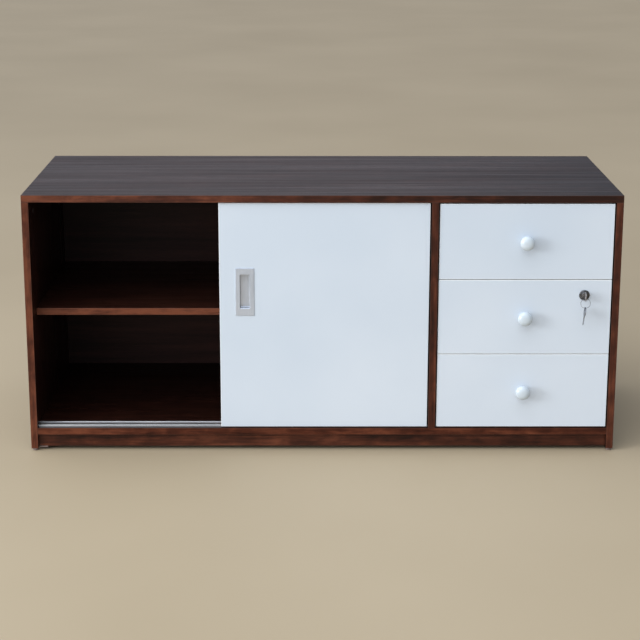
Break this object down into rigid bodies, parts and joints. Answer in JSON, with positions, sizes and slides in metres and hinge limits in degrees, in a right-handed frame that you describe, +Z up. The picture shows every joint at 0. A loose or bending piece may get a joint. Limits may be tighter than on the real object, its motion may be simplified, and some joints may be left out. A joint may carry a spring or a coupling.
{
  "type": "office credenza",
  "caption": "Low office cabinet: dark wood carcase, a shelved bay behind sliding white doors, and a bank of white drawers with round knobs, one of them lockable.",
  "frame": {"origin": "on the floor under the middle of the whole outline, from the face of the knobs to the rear edge of the carcase", "axes": "+Z up, the doors and drawers face -Y, +X to the right of a person facing them"},
  "size_m": [1.5, 0.633, 0.669],
  "materials": {
    "dark_wood": "dark walnut-stained veneer board, satin lacquer",
    "back_sheet": "thin hardboard with dark wood print film",
    "white_board": "white satin melamine-faced board with white edge band",
    "drawer_board": "pale grey melamine-faced board",
    "satin_aluminium": "satin anodised aluminium strip",
    "zinc_steel": "zinc-plated steel",
    "satin_nickel": "satin nickel",
    "dark_chrome": "polished chrome on zinc",
    "nickel": "nickel-plated, lightly scuffed",
    "knob_gloss": "glossy white",
    "brown_plastic": "extruded dark brown plastic",
    "pale_plastic": "moulded off-white plastic",
    "wheel_nylon": "moulded nylon",
    "beech": "bare fluted beech dowel"
  },
  "bodies": {
    "cabinet": {"top_panel": "dark_wood", "left_side_panel": "dark_wood", "right_side_panel": "dark_wood", "centre_divider": "dark_wood", "bottom_panel": "dark_wood", "back_panel": "back_sheet", "front_plinth": "dark_wood", "rear_plinth": "dark_wood", "lock_rail": "dark_wood", "shelf": "dark_wood", "shelf_pins": "zinc_steel", "door_strips": "satin_aluminium", "top_track": "brown_plastic", "floor_glides": "pale_plastic", "runner_outer_members": "zinc_steel", "cam_fittings": "zinc_steel", "wooden_dowels": "beech", "wood_screws": "zinc_steel"},
    "front_door": {"front_door_panel": "white_board", "front_door_pull": "satin_nickel", "front_door_wheel_carriers": "pale_plastic", "front_door_top_guides": "pale_plastic"},
    "front_door_left_wheel": {"front_door_left_wheel": "wheel_nylon"},
    "front_door_right_wheel": {"front_door_right_wheel": "wheel_nylon"},
    "rear_door": {"rear_door_panel": "white_board", "rear_door_pull": "satin_nickel", "rear_door_wheel_carriers": "pale_plastic", "rear_door_top_guides": "pale_plastic"},
    "rear_door_left_wheel": {"rear_door_left_wheel": "wheel_nylon"},
    "rear_door_right_wheel": {"rear_door_right_wheel": "wheel_nylon"},
    "upper_drawer": {"upper_drawer_front": "white_board", "upper_drawer_sides": "drawer_board", "upper_drawer_rear_wall": "drawer_board", "upper_drawer_bottom": "drawer_board", "upper_drawer_knob": "knob_gloss", "upper_drawer_fixings": "zinc_steel", "upper_drawer_runner_inner_members": "zinc_steel"},
    "upper_drawer_runners": {"upper_drawer_runner_intermediate_members": "zinc_steel"},
    "middle_drawer": {"middle_drawer_front": "white_board", "middle_drawer_sides": "drawer_board", "middle_drawer_rear_wall": "drawer_board", "middle_drawer_bottom": "drawer_board", "middle_drawer_knob": "knob_gloss", "middle_drawer_fixings": "zinc_steel", "middle_drawer_runner_inner_members": "zinc_steel", "lock_barrel": "dark_chrome"},
    "middle_drawer_runners": {"middle_drawer_runner_intermediate_members": "zinc_steel"},
    "lower_drawer": {"lower_drawer_front": "white_board", "lower_drawer_sides": "drawer_board", "lower_drawer_rear_wall": "drawer_board", "lower_drawer_bottom": "drawer_board", "lower_drawer_knob": "knob_gloss", "lower_drawer_fixings": "zinc_steel", "lower_drawer_runner_inner_members": "zinc_steel"},
    "lower_drawer_runners": {"lower_drawer_runner_intermediate_members": "zinc_steel"},
    "lock_plug": {"lock_plug": "nickel", "lock_cam": "zinc_steel"},
    "key": {"key": "nickel"},
    "key_ring": {"key_ring": "nickel"},
    "spare_key": {"spare_key": "nickel"}
  },
  "joints": [
    {"name": "front_door_slide", "type": "slide", "parent": "cabinet", "child": "front_door", "axis": [1, 0, 0], "range_m": [-0.469, 0]},
    {"name": "front_door_left_wheel_turn", "type": "hinge", "parent": "front_door", "child": "front_door_left_wheel", "pos_m": [-0.215, -0.271, 0.0758], "axis": [0, 1, 0], "continuous": true},
    {"name": "front_door_right_wheel_turn", "type": "hinge", "parent": "front_door", "child": "front_door_right_wheel", "pos_m": [0.224, -0.271, 0.0758], "axis": [0, 1, 0], "continuous": true},
    {"name": "rear_door_slide", "type": "slide", "parent": "cabinet", "child": "rear_door", "axis": [1, 0, 0], "range_m": [-0.469, 0]},
    {"name": "rear_door_left_wheel_turn", "type": "hinge", "parent": "rear_door", "child": "rear_door_left_wheel", "pos_m": [-0.215, -0.244, 0.0758], "axis": [0, 1, 0], "continuous": true},
    {"name": "rear_door_right_wheel_turn", "type": "hinge", "parent": "rear_door", "child": "rear_door_right_wheel", "pos_m": [0.224, -0.244, 0.0758], "axis": [0, 1, 0], "continuous": true},
    {"name": "upper_drawer_slide", "type": "slide", "parent": "cabinet", "child": "upper_drawer", "axis": [0, -1, 0], "range_m": [0, 0.45]},
    {"name": "upper_drawer_runner_slide", "type": "slide", "parent": "cabinet", "child": "upper_drawer_runners", "axis": [0, -1, 0], "range_m": [0, 0.23]},
    {"name": "middle_drawer_slide", "type": "slide", "parent": "cabinet", "child": "middle_drawer", "axis": [0, -1, 0], "range_m": [0, 0.45]},
    {"name": "middle_drawer_runner_slide", "type": "slide", "parent": "cabinet", "child": "middle_drawer_runners", "axis": [0, -1, 0], "range_m": [0, 0.23]},
    {"name": "lower_drawer_slide", "type": "slide", "parent": "cabinet", "child": "lower_drawer", "axis": [0, -1, 0], "range_m": [0, 0.45]},
    {"name": "lower_drawer_runner_slide", "type": "slide", "parent": "cabinet", "child": "lower_drawer_runners", "axis": [0, -1, 0], "range_m": [0, 0.23]},
    {"name": "lock_turn", "type": "hinge", "parent": "middle_drawer", "child": "lock_plug", "pos_m": [0.661, -0.283, 0.41367], "axis": [0, 1, 0], "range_deg": [0, 90]},
    {"name": "key_pull", "type": "slide", "parent": "lock_plug", "child": "key", "axis": [0, -1, 0], "range_m": [0, 0.02]},
    {"name": "key_ring_swing", "type": "hinge", "parent": "key", "child": "key_ring", "pos_m": [0.661, -0.307, 0.41367], "axis": [1, 0, 0], "range_deg": [-60, 5]},
    {"name": "spare_key_swing", "type": "hinge", "parent": "key_ring", "child": "spare_key", "pos_m": [0.66063, -0.307, 0.38229], "axis": [0.9945, 0, -0.1045], "range_deg": [-45, 12]}
  ],
  "couplings": [
    {"joint": "front_door_left_wheel_turn", "follows": "front_door_slide", "rad_per_m": 111.11},
    {"joint": "front_door_right_wheel_turn", "follows": "front_door_slide", "rad_per_m": 111.11},
    {"joint": "rear_door_left_wheel_turn", "follows": "rear_door_slide", "rad_per_m": 111.11},
    {"joint": "rear_door_right_wheel_turn", "follows": "rear_door_slide", "rad_per_m": 111.11},
    {"joint": "upper_drawer_runner_slide", "follows": "upper_drawer_slide", "ratio": 0.5},
    {"joint": "middle_drawer_runner_slide", "follows": "middle_drawer_slide", "ratio": 0.5},
    {"joint": "lower_drawer_runner_slide", "follows": "lower_drawer_slide", "ratio": 0.5}
  ]
}
